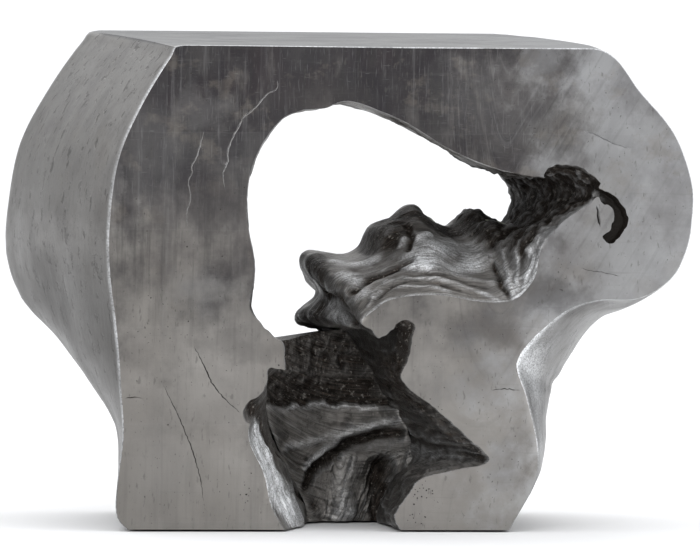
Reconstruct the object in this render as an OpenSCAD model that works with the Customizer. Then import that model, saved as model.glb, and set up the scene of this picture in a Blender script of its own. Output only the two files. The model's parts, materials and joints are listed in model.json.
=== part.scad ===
// Side table made as a slice of a hollow log: two parallel cut faces, smooth natural
// sides, a ragged opening right through it and a deep recess between its two feet.
// It is a hollow casting in two halves with a cast recess wall, wooden stiffeners inside
// and four levelling glides. Millimetres, +Z up, floor at z = 0, front face towards -Y.

/* [Slab] */
// Distance between the front and the back cut face
depth = 300; // [240:10:360]
// Height of the flat top above the floor
table_h = 450; // [446:1:454]
// Height of the shells' lower edge above the floor, glides screwed in
base_gap = 2; // [1.5:0.5:3]
// Thickness of the flat front and back plates
plate_t = 8; // [6:1:10]
// Thickness of the outer and inner walls, along the line between them
wall_t = 9; // [7:1:11]
// Steps along the arch between two drawn points
arc_steps = 2; // [1:1:3]
// Steps from a cut face to the middle seam
depth_steps = 4; // [2:1:5]

/* [Inside] */
// Half width of the seam strips
strip_half = 14; // [8:1:20]
// Thickness of the seam strips
strip_t = 3; // [2:0.5:4]
// Gap between bonded pieces
bond_gap = 0.4; // [0.3:0.1:1]
// Thickness of the plywood stiffener and ribs
ply_t = 12; // [9:1:15]
// Depth of the solid recess wall, from the back face
recess_wall_depth = 160; // [130:5:180]

/* [Feet] */
// Thickness of the base panels
panel_t = 6; // [5:0.5:7]
// Height of the foot blocks
block_h = 38; // [34:1:40]
// Side of the square foot blocks
block_w = 50; // [44:1:52]
// Diameter of the levelling stem
stem_d = 8; // [8:1:8]
// Length of the levelling stem
stem_l = 38; // [34:1:40]
// Outer diameter of the threaded insert
insert_d = 12; // [11:0.5:13]
// Length of the threaded insert
insert_l = 20; // [16:1:24]
// Diameter of the glide pad
pad_d = 30; // [26:1:32]
// Height of the glide pad
pad_h = 5; // [4.5:0.5:6]
// Radial clearance of the thread and of the pad's socket
thread_clear = 0.05; // [0.03:0.01:0.1]
// Shank diameter of the base panel screws
screw_d = 4; // [3.5:0.5:4.5]
// Length of the base panel screws under the head
screw_l = 16; // [12:1:20]

/* [Hidden] */

$fn = 48;
// The outlines are drawn from a datum line on the front face; this moves the middle of
// the whole width to x = 0
centre_x = 17.7;
y_front = -depth / 2;
silver = [0.66, 0.66, 0.67];
dark_silver = [0.36, 0.35, 0.34];
plywood = [0.78, 0.66, 0.48];
steel = [0.72, 0.73, 0.75];
nylon = [0.16, 0.16, 0.17];
laminate = [0.55, 0.56, 0.50];

// The front face is an arch over the recess. Each row is one line across the arch:
// outer x and z, inner x and z, from the left foot over the top to the right foot.
arch = [
    [-236, 2, -84, 2], [-247, 16, -97, 24], [-246, 50, -105, 55], [-242, 90, -120, 92],
    [-245, 130, -104, 134], [-248, 165, -88, 163], [-252, 198, -120, 202],
    [-258, 240, -117, 245], [-259, 285, -126, 296], [-252, 342, -120, 342],
    [-232, 391, -98, 378], [-204, 438, -76, 389], [-190, 450, -55, 391],
    [-110, 450, -28, 398], [-10, 450, 20, 381], [80, 450, 71, 352], [160, 450, 118, 335],
    [216, 447, 160, 328], [250, 410, 190, 336], [284, 371, 213, 322], [302, 325, 206, 309],
    [303, 290, 176, 288], [298, 262, 156, 262], [284, 236, 149, 236], [254, 218, 131, 216],
    [215, 216, 100, 214], [186, 207, 60, 220], [160, 187, 15, 217], [149, 176, -4, 206],
    [142, 168, -15, 194], [139, 162, -4, 187], [137, 157, 8, 182], [137, 153, 20, 185],
    [138, 148, 33, 191], [141, 140, 30, 162], [145, 131, 25, 140], [149, 118, 60, 112],
    [153, 104, 90, 86], [158, 82, 109, 66], [159, 56, 78, 58], [154, 40, 45, 50],
    [146, 26, 32, 34], [138, 12, 20, 15], [133, 2, 26, 2]
];
// Inner line at the middle of the depth, where the opening is at its tightest
throat = [
    [-22, 2], [-27, 24], [-44, 55], [-62, 92], [-72, 130], [-76, 163], [-90, 202],
    [-95, 245], [-100, 296], [-95, 342], [-74, 374], [-56, 384], [-40, 388],
    [-5, 392], [35, 380], [82, 363], [120, 338], [152, 328], [166, 322], [178, 308], [177, 298],
    [166, 276], [150, 281], [133, 288], [112, 273], [93, 279], [70, 291], [20, 250], [-20, 250],
    [-27, 235], [-10, 212], [-28, 195], [-20, 185], [2, 180], [16, 165], [26, 148], [44, 120],
    [58, 92], [66, 68], [66, 56], [56, 44], [48, 30], [42, 14], [42, 2]
];
last_row = len(arch) - 1;
foot_rows = 5;            // rows of the left foot that face the recess wall
right_foot_row = 33;      // first row of the right foot that faces the recess wall

// How far the outer line moves from the front face to mid depth and to the back face
mid_dx = [[0, 44], [2, 42], [3, 34], [4, 10], [5, -7], [6, -14], [8, -20], [9, -16], [10, -12],
    [11, -5], [12, 0], [16, 2], [17, 6], [19, 8], [22, 14], [23, 24], [24, 22], [25, 44], [26, 58],
    [27, 74], [29, 83], [31, 83], [34, 72], [36, 60], [38, 47], [40, 36], [43, 30]];
mid_dz = [[0, 0], [17, 3], [19, 0], [22, -4], [23, -14], [24, -18], [25, -26], [26, -32],
    [29, -22], [34, -18], [37, -6], [39, 0], [43, 0]];
back_dx = [[0, 92], [2, 90], [3, 78], [4, 53], [5, 20], [6, -11], [7, -20], [9, -14], [10, -9],
    [11, -4], [12, 0], [15, 0], [16, -8], [17, -14], [18, 2], [19, 8], [23, 12], [24, 26], [25, 40],
    [27, 66], [31, 76], [36, 58], [40, 48], [43, 46]];
back_dz = [[0, 0], [17, 0], [22, -8], [25, -26], [29, -20], [36, -10], [39, 0], [43, 0]];
// How far the inner line moves from mid depth to the back face
flare_dx = [[0, 0], [6, 0], [12, 6], [14, 30], [15, 45], [20, 50], [24, 46], [31, 44], [33, 30],
    [35, 0], [43, 0]];
flare_dz = [[0, 0], [4, 0], [5, -10], [7, -6], [12, 0], [14, 8], [17, 2], [21, -10], [24, -26],
    [27, -24], [31, -16], [35, -4], [36, 0], [43, 0]];

// Catmull-Rom curve through a list of points; u counts rows from 0
function row(pts, i) = pts[max(0, min(len(pts) - 1, i))];
function curve(pts, u) =
    let(i = min(floor(u), len(pts) - 2), f = u - i,
        a = row(pts, i - 1), b = row(pts, i), c = row(pts, i + 1), d = row(pts, i + 2))
    0.5 * (2 * b + (c - a) * f + (2 * a - 5 * b + 4 * c - d) * f * f
        + (3 * b - a - 3 * c + d) * f * f * f);
function level(p) = [p[0], min(table_h, max(base_gap, p[1]))];
function unit2(v) = v / norm(v);

// Curve through the front, middle and back positions; t runs from 0 (front) to 1 (back)
function through(front, middle, back, t) =
    front * (1 - t) * (1 - 2 * t) + middle * 4 * t * (1 - t) + back * t * (2 * t - 1);

function outer_at(u, t) =
    let(p = curve(arch, u), o = [p[0], p[1]],
        m = o + [lookup(u, mid_dx), lookup(u, mid_dz)],
        b = o + [lookup(u, back_dx), lookup(u, back_dz)])
    level(through(o, m, b, t));
function inner_at(u, t) =
    let(p = curve(arch, u), i = [p[2], p[3]], m = curve(throat, u),
        b = m + [lookup(u, flare_dx), lookup(u, flare_dz)])
    level(through(i, m, b, t));
// Points set in from the outer or the inner line, along the line across the arch
function outer_in(u, t, inset) =
    let(a = outer_at(u, t), b = inner_at(u, t)) level(a + unit2(b - a) * inset);
function inner_in(u, t, inset) =
    let(a = outer_at(u, t), b = inner_at(u, t)) level(b + unit2(a - b) * inset);
function place(p, t) = [p[0] - centre_x, y_front + depth * t, p[1]];

// Closed ring of one shell half at row u: outer wall, its inside, the plate's inside,
// the inner wall's inside and the inner wall. t_cut is the cut face, t_seam the seam.
function shell_ring(u, t_cut, t_seam) =
    let(n = depth_steps,
        t_plate = t_cut + sign(t_seam - t_cut) * plate_t / depth,
        outer_t = [for (i = [0:n]) t_cut + (t_seam - t_cut) * i / n],
        inside_t = [for (i = [0:n]) t_plate + (t_seam - t_plate) * i / n])
    concat(
        [for (i = [0:n]) place(outer_at(u, outer_t[i]), outer_t[i])],
        [for (i = [n:-1:0]) place(outer_in(u, inside_t[i], wall_t), inside_t[i])],
        [for (i = [0:n]) place(inner_in(u, inside_t[i], wall_t), inside_t[i])],
        [for (i = [n:-1:0]) place(inner_at(u, outer_t[i]), outer_t[i])]
    );

// End of a shell half: its wall, plate and wall sections, each as four-sided faces
function shell_end(base, flip) =
    let(n = depth_steps, a = base, b = base + 2 * n + 1, c = base + 2 * n + 2, d = base + 4 * n + 3,
        faces = concat(
            [for (i = [0:n - 1]) [a + i, a + i + 1, b - i - 1, b - i]],
            [[a, b, c, d]],
            [for (i = [0:n - 1]) [c + i, c + i + 1, d - i - 1, d - i]]))
    [for (f = faces) flip ? [f[3], f[2], f[1], f[0]] : f];

function band(rings, size, flip) =
    [for (r = [0:rings - 2], i = [0:size - 1])
        let(j = (i + 1) % size, a = r * size + i, b = r * size + j,
            c = (r + 1) * size + j, d = (r + 1) * size + i)
        each flip ? [[a, c, b], [a, d, c]] : [[a, b, c], [a, c, d]]];

function row_steps(first, last) =
    [for (k = [0:(last - first) * arc_steps]) first + k / arc_steps];

module shell_half(t_cut, t_seam) {
    us = row_steps(0, last_row);
    size = 4 * depth_steps + 4;
    flip = t_seam < t_cut;
    points = [for (u = us) each shell_ring(u, t_cut, t_seam)];
    polyhedron(points, concat(
        band(len(us), size, flip),
        shell_end(0, !flip),
        shell_end((len(us) - 1) * size, flip)), convexity = 10);
}

// Strip of constant thickness that bridges the seam inside the hollow
module seam_strip(outer_side) {
    t_a = 0.5 - strip_half / depth;
    t_b = 0.5 + strip_half / depth;
    near = wall_t + 1.5;
    far = near + strip_t;
    us = row_steps(1 / arc_steps, last_row - 1 / arc_steps);
    points = [for (u = us)
        let(section = [[t_a, near], [t_b, near], [t_b, far], [t_a, far]])
        each [for (s = section)
            place(outer_side ? outer_in(u, s[0], s[1]) : inner_in(u, s[0], s[1]), s[0])]];
    last = (len(us) - 1) * 4;
    polyhedron(points, concat(
        band(len(us), 4, !outer_side),
        [outer_side ? [3, 2, 1, 0] : [0, 1, 2, 3]],
        [outer_side ? [last, last + 1, last + 2, last + 3] : [last + 3, last + 2, last + 1, last]]),
        convexity = 10);
}

module front_shell() { color(silver) shell_half(0, 0.5); }
module rear_shell() { color(silver) shell_half(1, 0.5); }
module outer_seam_strip() { color(laminate) seam_strip(true); }
module opening_seam_strip() { color(laminate) seam_strip(false); }

// Solid casting that closes the gap between the feet behind the recess
module recess_wall() {
    t_front = 1 - recess_wall_depth / depth;
    levels = 6;
    left = row_steps(0, foot_rows);
    right = row_steps(right_foot_row, last_row);
    size = len(left) + len(right);
    function side_gap(p, dx) = [p[0] + dx, p[1]];
    points = [for (k = [0:levels])
        let(t = t_front + (1 - t_front) * k / levels)
        each concat(
            [for (u = left) place(side_gap(inner_at(u, t), bond_gap + 0.6), t)],
            [for (u = right) place(side_gap(inner_at(u, t), -bond_gap - 0.6), t)])];
    top = levels * size;
    color(dark_silver)
        polyhedron(points, concat(
            band(levels + 1, size, true),
            [[for (i = [0:size - 1]) i]],
            [[for (i = [size - 1:-1:0]) top + i]]), convexity = 6);
}

// Plywood panel under the flat top
module top_stiffener() {
    color(plywood)
        translate([-150 - centre_x, -depth / 2 + 20, table_h - 38])
            cube([320, depth - 40, ply_t]);
}

// Upright plywood rib between the front and the back plate
module rib(x, z_low, z_high) {
    color(plywood)
        translate([x - centre_x - ply_t / 2, y_front + plate_t + bond_gap, z_low])
            cube([ply_t, depth - 2 * plate_t - 2 * bond_gap, z_high - z_low]);
}
module left_rib() { rib(-178, 190, 380); }
module right_rib() { rib(256, 250, 330); }

// Levelling feet: x measured from the datum line, y from the middle of the depth
feet = [[-165, -100], [-115, 96], [90, -100], [112, 96]];
pad_hole_d = pad_d + 6;
screw_step = block_w / 2 - 6;
block_z = base_gap + 1 + panel_t + bond_gap;
socket_d = 11;
socket_floor = 1.5;
function foot_place(i) = [feet[i][0] - centre_x, feet[i][1], 0];
function screw_places(i) = [for (s = [-1, 1]) foot_place(i) + [s * screw_step, s * screw_step, 0]];

module base_panel(outline, first) {
    color(nylon)
        difference() {
            translate([-centre_x, 0, base_gap + 1])
                linear_extrude(panel_t)
                    polygon(outline);
            for (i = [first, first + 1]) {
                translate(foot_place(i)) cylinder(h = 40, d = pad_hole_d, center = true);
                for (p = screw_places(i)) translate(p) {
                    cylinder(h = 40, d = screw_d + 0.4, center = true);
                    cylinder(h = 2 * (base_gap + 1 + 2.6), d = 2 * screw_d + 0.6, center = true);
                }
            }
        }
}
module left_base_panel() {
    base_panel([[-216, -138], [-102, -138], [-74, -60], [-60, 20], [-60, 138],
        [-130, 138], [-154, 70], [-180, -20], [-205, -100]], 0);
}
module right_base_panel() {
    base_panel([[42, -138], [116, -138], [138, -60], [152, 20], [162, 138],
        [58, 138], [58, 20], [52, -60]], 2);
}

module base_screws() {
    color(steel)
        for (i = [0:3], p = screw_places(i))
            translate(p + [0, 0, base_gap + 1.2]) {
                cylinder(h = 2.2, d = 2 * screw_d);
                translate([0, 0, 2]) cylinder(h = screw_l, d = screw_d);
            }
}

module foot_block(i) {
    color(plywood)
        difference() {
            translate(foot_place(i) + [-block_w / 2, -block_w / 2, block_z])
                cube([block_w, block_w, block_h]);
            translate(foot_place(i) + [0, 0, block_z - 1])
                cylinder(h = insert_l + 1, d = insert_d + 2 * thread_clear);
            translate(foot_place(i)) cylinder(h = 80, d = stem_d + 2);
            for (p = screw_places(i)) translate(p)
                cylinder(h = base_gap + 4 + screw_l, d = screw_d + 0.4);
        }
}
module insert(i) {
    color(steel)
        translate(foot_place(i) + [0, 0, block_z])
            difference() {
                cylinder(h = insert_l - 0.5, d = insert_d);
                translate([0, 0, -1]) cylinder(h = insert_l + 2, d = stem_d + 2 * thread_clear);
            }
}
module stem(i) {
    color(steel)
        translate(foot_place(i)) {
            translate([0, 0, socket_floor + 0.1])
                cylinder(h = pad_h - socket_floor + 0.4, d = socket_d - 2 * thread_clear);
            translate([0, 0, pad_h]) cylinder(h = stem_l, d = stem_d);
        }
}
module pad(i) {
    color(nylon)
        translate(foot_place(i))
            difference() {
                rotate_extrude()
                    polygon([[0, 0], [pad_d / 2 - 1, 0], [pad_d / 2, 1], [pad_d / 2, pad_h - 1.5],
                        [pad_d / 2 - 1.5, pad_h], [0, pad_h]]);
                translate([0, 0, socket_floor]) cylinder(h = pad_h, d = socket_d);
            }
}

front_shell();
rear_shell();
recess_wall();
outer_seam_strip();
opening_seam_strip();
top_stiffener();
left_rib();
right_rib();
left_base_panel();
right_base_panel();
base_screws();
foot_block(0);  // front_left_block
foot_block(1);  // rear_left_block
foot_block(2);  // front_right_block
foot_block(3);  // rear_right_block
insert(0);  // front_left_insert
insert(1);  // rear_left_insert
insert(2);  // front_right_insert
insert(3);  // rear_right_insert
stem(0);  // front_left_stem
stem(1);  // rear_left_stem
stem(2);  // front_right_stem
stem(3);  // rear_right_stem
pad(0);  // front_left_pad
pad(1);  // rear_left_pad
pad(2);  // front_right_pad
pad(3);  // rear_right_pad
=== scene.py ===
import json
import math

import bmesh
import bpy
import numpy as np
from mathutils import Matrix, Vector
from mathutils.geometry import delaunay_2d_cdt


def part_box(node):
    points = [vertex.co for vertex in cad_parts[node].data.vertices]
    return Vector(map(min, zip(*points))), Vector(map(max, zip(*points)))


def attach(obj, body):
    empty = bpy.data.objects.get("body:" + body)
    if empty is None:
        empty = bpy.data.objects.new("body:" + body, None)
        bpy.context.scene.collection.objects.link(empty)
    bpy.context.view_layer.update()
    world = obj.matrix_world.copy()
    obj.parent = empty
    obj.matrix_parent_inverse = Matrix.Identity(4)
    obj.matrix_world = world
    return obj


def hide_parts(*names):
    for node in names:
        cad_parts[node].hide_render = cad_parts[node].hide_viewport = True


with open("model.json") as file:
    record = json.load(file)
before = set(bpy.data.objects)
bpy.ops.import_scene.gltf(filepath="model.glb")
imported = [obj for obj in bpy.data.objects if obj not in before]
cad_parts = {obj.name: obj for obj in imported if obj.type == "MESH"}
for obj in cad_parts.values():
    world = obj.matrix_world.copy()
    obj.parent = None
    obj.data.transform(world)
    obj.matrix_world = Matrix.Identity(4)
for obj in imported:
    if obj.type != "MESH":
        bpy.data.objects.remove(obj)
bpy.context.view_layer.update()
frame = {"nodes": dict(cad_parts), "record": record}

MM = 0.001
DATUM_X = 17.7                     # datum line to the middle of the width
shell_low, shell_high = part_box("front_shell")
TABLE_H = shell_high.z / MM
BASE_Z = shell_low.z / MM
Y_FRONT = shell_low.y / MM
DEPTH = -2 * Y_FRONT
WALL = 9.0                         # outer wall of the hollow casts
INNER_WALL = 12.0                  # wall round the opening, under the relief
PLATE = 8.0                        # front and back plates
TRIANGLES_INSIDE = 1               # delaunay_2d_cdt's output type

# ---------------------------------------------------------------- outlines
# One row per line across the arch: outer x, z and inner x, z on the front face.
ARCH = np.array([
    (-236, 2, -84, 2), (-247, 16, -97, 24), (-246, 50, -105, 55), (-242, 90, -120, 92),
    (-245, 130, -104, 134), (-248, 165, -88, 163), (-252, 198, -120, 202),
    (-258, 240, -117, 245), (-259, 285, -126, 296), (-252, 342, -120, 342),
    (-232, 391, -98, 378), (-204, 438, -76, 389), (-190, 450, -55, 391),
    (-110, 450, -28, 398), (-10, 450, 20, 381), (80, 450, 71, 352), (160, 450, 118, 335),
    (216, 447, 160, 328), (250, 410, 190, 336), (284, 371, 213, 322), (302, 325, 206, 309),
    (303, 290, 176, 288), (298, 262, 156, 262), (284, 236, 149, 236), (254, 218, 131, 216),
    (215, 216, 100, 214), (186, 207, 60, 220), (160, 187, 15, 217), (149, 176, -4, 206),
    (142, 168, -15, 194), (139, 162, -4, 187), (137, 157, 8, 182), (137, 153, 20, 185),
    (138, 148, 33, 191), (141, 140, 30, 162), (145, 131, 25, 140), (149, 118, 60, 112),
    (153, 104, 90, 86), (158, 82, 109, 66), (159, 56, 78, 58), (154, 40, 45, 50),
    (146, 26, 32, 34), (138, 12, 20, 15), (133, 2, 26, 2),
], float)
# Inner line at the middle of the depth.
THROAT = np.array([
    (-22, 2), (-27, 24), (-44, 55), (-62, 92), (-72, 130), (-76, 163), (-90, 202),
    (-95, 245), (-100, 296), (-95, 342), (-74, 374), (-56, 384), (-40, 388),
    (-5, 392), (35, 380), (82, 363), (120, 338), (152, 328), (166, 322), (178, 308), (177, 298),
    (166, 276), (150, 281), (133, 288), (112, 273), (93, 279), (70, 291), (20, 250), (-20, 250),
    (-27, 235), (-10, 212), (-28, 195), (-20, 185), (2, 180), (16, 165), (26, 148), (44, 120),
    (58, 92), (66, 68), (66, 56), (56, 44), (48, 30), (42, 14), (42, 2),
], float)
LAST = len(ARCH) - 1
LEFT_FOOT_ROW = 5
RIGHT_FOOT_ROW = 33
# Row and shift pairs: how far each line moves by mid depth and by the back face.
MID_DX = [(0, 44), (2, 42), (3, 34), (4, 10), (5, -7), (6, -14), (8, -20), (9, -16), (10, -12),
          (11, -5), (12, 0), (16, 2), (17, 6), (19, 8), (22, 14), (23, 24), (24, 22), (25, 44),
          (26, 58), (27, 74), (29, 83), (31, 83), (34, 72), (36, 60), (38, 47), (40, 36), (43, 30)]
MID_DZ = [(0, 0), (17, 3), (19, 0), (22, -4), (23, -14), (24, -18), (25, -26), (26, -32),
          (29, -22), (34, -18), (37, -6), (39, 0), (43, 0)]
BACK_DX = [(0, 92), (2, 90), (3, 78), (4, 53), (5, 20), (6, -11), (7, -20), (9, -14), (10, -9),
           (11, -4), (12, 0), (15, 0), (16, -8), (17, -14), (18, 2), (19, 8), (23, 12), (24, 26),
           (25, 40), (27, 66), (31, 76), (36, 58), (40, 48), (43, 46)]
BACK_DZ = [(0, 0), (17, 0), (22, -8), (25, -26), (29, -20), (36, -10), (39, 0), (43, 0)]
FLARE_DX = [(0, 0), (6, 0), (12, 6), (14, 30), (15, 45), (20, 50), (24, 46), (31, 44), (33, 30),
            (35, 0), (43, 0)]
FLARE_DZ = [(0, 0), (4, 0), (5, -10), (7, -6), (12, 0), (14, 8), (17, 2), (21, -10), (24, -26),
            (27, -24), (31, -16), (35, -4), (36, 0), (43, 0)]


# Stretches of the opening's front edge that need more than the rows: first and last row,
# how deep the detail starts and stops fading (mm), and its points.
EDGE_PATHS = (
    (3.2, 6.1, 3, 26, [(-123, 103), (-125, 112), (-121, 119), (-111, 126), (-104, 135),
                       (-102, 140), (-103, 147), (-100, 151), (-88, 149), (-86, 153), (-87, 163),
                       (-89, 175), (-98, 182), (-108, 191), (-115, 198)]),
    (18.9, 20.15, 5.6, 7.3, [(211, 319), (219, 315), (227, 310), (235, 302), (239, 291),
                             (235, 278), (230, 272), (222, 269), (216, 273), (218, 277),
                             (223, 280), (226, 289), (226, 297), (222, 303), (216, 305),
                             (212, 309), (209, 312)]),
    (17.0, 18.45, 3, 20, [(159, 331), (161, 335.5), (167, 338.5), (176, 339), (187, 338),
                          (195, 335)]),
    (30.0, 34.0, 3, 26, [(1.5, 179), (9, 183), (18, 192), (25, 196), (31, 195), (35, 189),
                         (33.5, 178)]),
)


def shift(u, dx, dz):
    """The x and z shift at rows u, averaged a little so that the rows leave no creases."""
    def table(pairs):
        rows, values = zip(*pairs)
        return sum(k * np.interp(u + off, rows, values)
                   for off, k in ((-0.4, 0.25), (0, 0.5), (0.4, 0.25)))
    return np.stack([table(dx), table(dz)], -1)


def curve(points, u):
    """Catmull-Rom curve through points at rows u."""
    i = np.clip(np.floor(u).astype(int), 0, len(points) - 2)
    f = (u - i)[..., None]
    a, b, c, d = (points[np.clip(i + k, 0, len(points) - 1)] for k in (-1, 0, 1, 2))
    return 0.5 * (2 * b + (c - a) * f + (2 * a - 5 * b + 4 * c - d) * f ** 2
                  + (3 * b - a - 3 * c + d) * f ** 3)


def through(front, middle, back, t):
    """Curve in depth through the front, middle and back positions."""
    t = t[..., None]
    return front * (1 - t) * (1 - 2 * t) + middle * 4 * t * (1 - t) + back * t * (2 * t - 1)


def level(p):
    """Outline points kept between the floor and the table's height."""
    p = p.copy()
    p[..., 1] = np.clip(p[..., 1], BASE_Z, TABLE_H)
    return p


def outer_at(u, t):
    """The outside of the table at rows u and depth fractions t."""
    front = curve(ARCH, u)[..., :2]
    middle = front + shift(u, MID_DX, MID_DZ)
    back = front + shift(u, BACK_DX, BACK_DZ)
    return level(through(front, middle, back, t))


def inner_at(u, t):
    """The opening and the recess at rows u and depth fractions t."""
    front = curve(ARCH, u)[..., 2:]
    middle = curve(THROAT, u)
    back = middle + shift(u, FLARE_DX, FLARE_DZ)
    return level(through(front, middle, back, t))


def hollow_inner(u, t):
    """The inner line for the hollow, cut straight behind the tongue and the ear."""
    first, last = 24.0, 34.8
    share = np.clip((u - first) / (last - first), 0, 1)[..., None]
    straight = inner_at(first + 0 * u, t) * (1 - share) + inner_at(last + 0 * u, t) * share
    return np.where(((u > first) & (u < last))[..., None], straight, inner_at(u, t))


def detailed_inner(u, t):
    """The inner line with the edge paths of the front face."""
    p = inner_at(u, t)
    for first, last, near, far, path in EDGE_PATHS:
        ends = curve(ARCH, np.array([first, last]))[:, 2:]
        points = np.array([ends[0], *path, ends[1]], float)
        along = run_along(points)
        rows = first + (last - first) * along / along[-1]
        at = np.interp(u, rows, np.arange(len(points)))
        fade = 1 - np.clip((t * DEPTH - near) / (far - near), 0, 1)
        fade = fade * ((u > first) & (u < last))
        ragged = curve(points, at)
        q = with_depth(ragged)
        ends_kept = np.minimum(1, 4 * np.sin(np.pi * at / (len(points) - 1)))[..., None]
        ragged = ragged + np.stack([noise(q, 5, 411), noise(q, 5, 412)], -1) * ends_kept
        p = p + (ragged - inner_at(u, 0 * t)) * fade[..., None]
    return p


def with_depth(v):
    """Outline vectors x, z as x, 0, z."""
    return np.stack([v[..., 0], 0 * v[..., 0], v[..., 1]], -1)


def unit(v):
    """Vectors of the same direction and length one."""
    return v / np.maximum(np.linalg.norm(v, axis=-1, keepdims=True), 1e-9)


def at_y(p, y):
    """Outline points at depth y, in row-frame millimetres."""
    return np.stack([p[..., 0] - DATUM_X, y + 0 * p[..., 0], p[..., 1]], -1)


def at_depth(p, t):
    """Outline points at depth fraction t, 0 at the front and 1 at the back."""
    return at_y(p, Y_FRONT + DEPTH * t)


def run_along(points):
    """Distance from the first point to each point, measured along the line."""
    return np.concatenate([[0], np.cumsum(np.linalg.norm(np.diff(points, axis=0), axis=-1))])


# ---------------------------------------------------------------- noise
def lattice(ix, iy, iz, seed):
    """Repeatable value from -1 to 1 for each lattice point."""
    h = (ix * 374761393 + iy * 668265263 + iz * 2147483647 + seed * 1274126177) & 0xFFFFFFFF
    h = ((h ^ (h >> 13)) * 1274126177) & 0xFFFFFFFF
    h = ((h ^ (h >> 16)) * 2246822519) & 0xFFFFFFFF
    return ((h ^ (h >> 15)) & 0xFFFFFF) / float(0x7FFFFF) - 1.0


def noise(p, size, seed):
    """Smooth noise from -1 to 1 with features about size across; size may be per axis."""
    q = p / np.asarray(size, float)
    i = np.floor(q).astype(np.int64)
    f = q - i
    f = f * f * f * (f * (f * 6 - 15) + 10)
    total = 0.0
    for dx in (0, 1):
        wx = f[..., 0] if dx else 1 - f[..., 0]
        for dy in (0, 1):
            wy = f[..., 1] if dy else 1 - f[..., 1]
            for dz in (0, 1):
                wz = f[..., 2] if dz else 1 - f[..., 2]
                total = total + wx * wy * wz * lattice(
                    i[..., 0] + dx, i[..., 1] + dy, i[..., 2] + dz, seed)
    return total


def fractal(p, size, octaves, seed):
    """Sum of finer and finer noise, each octave half as strong as the one before."""
    size = np.asarray(size, float)
    total, weight, norm = 0.0, 1.0, 0.0
    for k in range(octaves):
        total = total + weight * noise(p, size / 2 ** k, seed + 17 * k)
        norm += weight
        weight *= 0.5
    return total / norm * 1.6


def smooth(x, low, high):
    """Smooth step from 0 at low to 1 at high."""
    s = np.clip((x - low) / (high - low), 0, 1)
    return s * s * (3 - 2 * s)


# ---------------------------------------------------------------- mesh building
class Outline:
    """A closed outline that can say whether it holds a point."""

    def __init__(self, points):
        self.a = np.asarray(points)
        self.b = np.roll(self.a, -1, axis=0)

    def holds(self, q):
        (ax, az), (bx, bz) = self.a.T, self.b.T
        spans = (az > q[1]) != (bz > q[1])
        x = ax + (q[1] - az) * (bx - ax) / np.where(spans, bz - az, 1)
        return bool(np.sum(spans & (q[0] < x)) % 2)


class Builder:
    """Collects points and faces of one piece, in millimetres."""

    def __init__(self):
        self.points, self.faces, self.bare, self.count = [], [], [], 0
        self.marks = {"dark": [], "shine": [], "along": [], "across": [], "fibre": []}

    def grid(self, p, dark=0.0, shine=0.0, grain=None):
        """Adds a grid of points and returns their numbers in the same shape."""
        shape = p.shape[:-1]
        self.points.append(p.reshape(-1, 3))
        values = (dark, shine, *(grain or (0.0, 0.0, 0.0)))
        for name, value in zip(self.marks, values):
            self.marks[name].append(np.broadcast_to(value, shape).reshape(-1).astype(float))
        n = int(np.prod(shape))
        ids = np.arange(self.count, self.count + n).reshape(shape)
        self.count += n
        return ids

    def add(self, faces, bare=False):
        """Adds faces; the points' marks don't colour a bare one."""
        self.faces += faces
        self.bare += [bare] * len(faces)

    def skin(self, ids):
        """Four-sided faces over a grid of numbers."""
        quads = np.stack([ids[:-1, :-1], ids[1:, :-1], ids[1:, 1:], ids[:-1, 1:]], -1)
        self.add(quads.reshape(-1, 4).tolist())

    def fill(self, loops, axes, loose=()):
        """Flat fill between closed loops of numbers; axes are the two that vary. The
        first loop is the outside, the others are holes, and loose are points inside."""
        p = np.concatenate(self.points)
        order = [int(i) for loop in loops for i in loop] + [int(i) for i in loose]
        flat = p[order][:, list(axes)]
        edges, start = [], 0
        for loop in loops:
            n = len(loop)
            edges += [(start + k, start + (k + 1) % n) for k in range(n)]
            start += n
        _, _, faces, origin, _, _ = delaunay_2d_cdt(
            [Vector(q) for q in flat], edges, [], TRIANGLES_INSIDE, 1e-5)
        faces = np.array([[origin[k][0] for k in face] for face in faces])
        middle = flat[faces].mean(axis=1)
        for loop in loops[1:]:
            hole = Outline(p[list(map(int, loop))][:, list(axes)])
            close = np.all((middle > hole.a.min(0)) & (middle < hole.a.max(0)), axis=1)
            drop = np.array([c and hole.holds(q) for c, q in zip(close, middle)])
            faces, middle = faces[~drop], middle[~drop]
        self.add([[order[k] for k in face] for face in faces.tolist()], bare=True)

    def finish(self, name, material):
        """Makes the mesh object, with the marks on its face corners."""
        p = np.concatenate(self.points) * MM
        mesh = bpy.data.meshes.new(name)
        mesh.from_pydata(p.tolist(), [], self.faces)
        corner = np.concatenate(self.faces)
        bare = np.repeat(self.bare, [len(f) for f in self.faces])
        for key, parts in self.marks.items():
            layer = mesh.attributes.new(key, "FLOAT", "CORNER")
            value = np.where(bare, 0, np.concatenate(parts)[corner])
            layer.data.foreach_set("value", value.astype(np.float32))
        piece = bpy.data.objects.new(name, mesh)
        bpy.context.scene.collection.objects.link(piece)
        clean(mesh)
        mesh.materials.append(material)
        return piece


CRISP = math.radians(38)            # edges bent by more than this are drawn sharp


def clean(mesh):
    """Welds the seams, turns the faces outward and marks the crisp edges."""
    bm = bmesh.new()
    bm.from_mesh(mesh)
    bmesh.ops.remove_doubles(bm, verts=bm.verts, dist=1e-5)
    bmesh.ops.dissolve_degenerate(bm, dist=1e-6, edges=bm.edges)
    bmesh.ops.recalc_face_normals(bm, faces=bm.faces)
    for face in bm.faces:
        face.smooth = True
    for edge in bm.edges:
        if len(edge.link_faces) == 2 and edge.calc_face_angle(0) > CRISP:
            edge.smooth = False
    bm.to_mesh(mesh)
    bm.free()


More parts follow.
